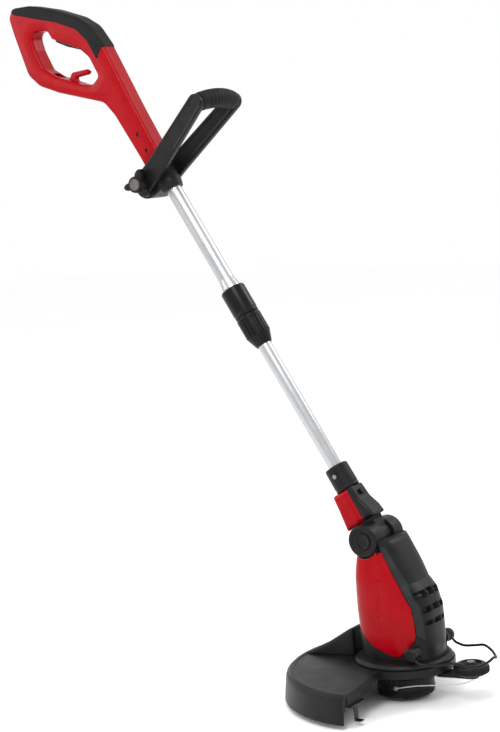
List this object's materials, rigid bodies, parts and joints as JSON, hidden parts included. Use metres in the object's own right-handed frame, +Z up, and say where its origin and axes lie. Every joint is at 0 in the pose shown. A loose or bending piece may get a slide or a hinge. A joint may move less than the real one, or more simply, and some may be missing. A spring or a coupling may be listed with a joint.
{
  "type": "string trimmer",
  "caption": "Corded string trimmer with D-handle, loop handle, telescoping shaft, tilting motor head, guard, flower guard bow and line spool.",
  "frame": {"origin": "centre of the tap button's bottom face, where the head rests on the ground, on the spool's axis", "axes": "+Z up along the spool's axis, +X forward towards the guide wheel, +Y to the left; the shaft leans back towards -X"},
  "size_m": [0.8166, 0.3702, 1.1059],
  "materials": {
    "red_abs": "moulded ABS, satin gloss",
    "black_pp": "moulded polypropylene, fine texture",
    "black_gloss": "moulded nylon, smooth",
    "soft_rubber": "thermoplastic elastomer overmould",
    "aluminium_tube": "drawn and anodised, satin",
    "steel_parts": "zinc plated steel",
    "black_wire": "black powder-coated steel wire",
    "cutter_steel": "blackened pressed steel",
    "grey_cap": "moulded polypropylene, mid grey",
    "natural_nylon": "moulded nylon, uncoloured",
    "nylon_line": "extruded nylon filament",
    "copper": "enamelled copper windings",
    "lamination": "stacked silicon steel",
    "carbon": "pressed carbon"
  },
  "bodies": {
    "root": {"handle_shell_left": "red_abs", "handle_shell_right": "red_abs", "soft_grip": "soft_rubber", "trigger_pin": "steel_parts", "switch_module": "black_pp", "mains_inlet": "black_pp", "handle_screws": "cutter_steel", "upper_tube": "aluminium_tube", "aux_bracket": "black_pp", "telescope_sleeve": "black_gloss", "tube_bush": "natural_nylon"},
    "trigger": {"trigger": "black_pp"},
    "loop_handle": {"aux_handle": "black_pp", "aux_grip": "soft_rubber", "clamp_nut": "steel_parts"},
    "clamp_knob": {"clamp_bolt": "steel_parts", "star_knob": "black_pp", "knob_cap": "grey_cap"},
    "collar": {"twist_collar": "black_gloss"},
    "lower_shaft": {"lower_tube": "aluminium_tube", "tube_end_plug": "natural_nylon", "motor_lead": "soft_rubber", "neck_collar": "black_pp", "collar_screw": "steel_parts"},
    "neck": {"neck_body": "black_pp", "neck_cover": "red_abs"},
    "latch": {"swivel_latch": "black_gloss"},
    "head": {"pivot_pin": "steel_parts", "pivot_cap_near": "black_pp", "pivot_cap_far": "black_pp", "rear_cover": "red_abs", "front_shell": "black_pp", "base_plate": "black_pp", "motor_can": "steel_parts", "stator": "lamination", "motor_bearings": "steel_parts", "motor_end_cap": "black_pp", "carbon_brushes": "carbon", "motor_screws": "steel_parts", "guard": "black_pp", "guard_screws": "steel_parts", "line_cutter": "cutter_steel", "cutter_rivets": "steel_parts", "wheel_arm": "black_pp", "wheel_screw": "steel_parts"},
    "tilt_release": {"tilt_button": "black_gloss"},
    "rotor": {"armature": "copper", "motor_shaft": "steel_parts", "cooling_fan": "natural_nylon", "spool_housing": "black_pp", "spool_cap": "black_gloss", "spool_spring": "steel_parts", "eyelets": "steel_parts", "cutting_lines": "nylon_line"},
    "reel": {"line_spool": "black_pp", "line_winding": "nylon_line", "tap_button": "black_pp"},
    "bow": {"flower_guard": "black_wire", "bow_hubs": "black_pp"},
    "wheel": {"guide_wheel": "black_pp"}
  },
  "joints": [
    {"name": "trigger_press", "type": "hinge", "parent": "root", "child": "trigger", "pos_m": [-0.51478, 0, 1.03059], "axis": [0, 1, 0], "range_deg": [0, 4.7], "stiffness_Nm_per_rad": 8},
    {"name": "loop_handle_tilt", "type": "hinge", "parent": "root", "child": "loop_handle", "pos_m": [-0.3993, 0, 0.80248], "axis": [0, 1, 0], "range_deg": [-30, 35]},
    {"name": "clamp_knob_turn", "type": "hinge", "parent": "root", "child": "clamp_knob", "pos_m": [-0.3993, 0, 0.80248], "axis": [0, 1, 0], "continuous": true},
    {"name": "collar_twist", "type": "hinge", "parent": "root", "child": "collar", "pos_m": [-0.22456, 0, 0.56215], "axis": [-0.515, 0, 0.8572], "range_deg": [0, 90]},
    {"name": "shaft_slide", "type": "slide", "parent": "root", "child": "lower_shaft", "axis": [-0.515, 0, 0.8572], "range_m": [0, 0.18]},
    {"name": "head_swivel", "type": "hinge", "parent": "lower_shaft", "child": "neck", "pos_m": [-0.07005, 0, 0.305], "axis": [-0.515, 0, 0.8572], "range_deg": [0, 180]},
    {"name": "latch_press", "type": "slide", "parent": "neck", "child": "latch", "axis": [-0.8572, 0, -0.515], "range_m": [0, 0.0025], "stiffness_N_per_m": 600},
    {"name": "head_tilt", "type": "hinge", "parent": "neck", "child": "head", "pos_m": [-0.034, 0, 0.245], "axis": [0, 1, 0], "range_deg": [-30, 35]},
    {"name": "tilt_button_press", "type": "slide", "parent": "head", "child": "tilt_release", "axis": [0, 1, 0], "range_m": [0, 0.003], "stiffness_N_per_m": 600},
    {"name": "head_spin", "type": "hinge", "parent": "head", "child": "rotor", "pos_m": [0, 0, 0.1], "axis": [0, 0, 1], "continuous": true},
    {"name": "tap_press", "type": "slide", "parent": "rotor", "child": "reel", "axis": [0, 0, 1], "range_m": [0, 0.004], "stiffness_N_per_m": 900, "deforming": ["spool_spring"]},
    {"name": "bow_fold", "type": "hinge", "parent": "head", "child": "bow", "pos_m": [0.046, 0, 0.082], "axis": [0, -1, 0], "range_deg": [0, 70]},
    {"name": "guide_wheel_spin", "type": "hinge", "parent": "head", "child": "wheel", "pos_m": [0.114, 0, 0.05], "axis": [0, 0, 1], "continuous": true}
  ]
}
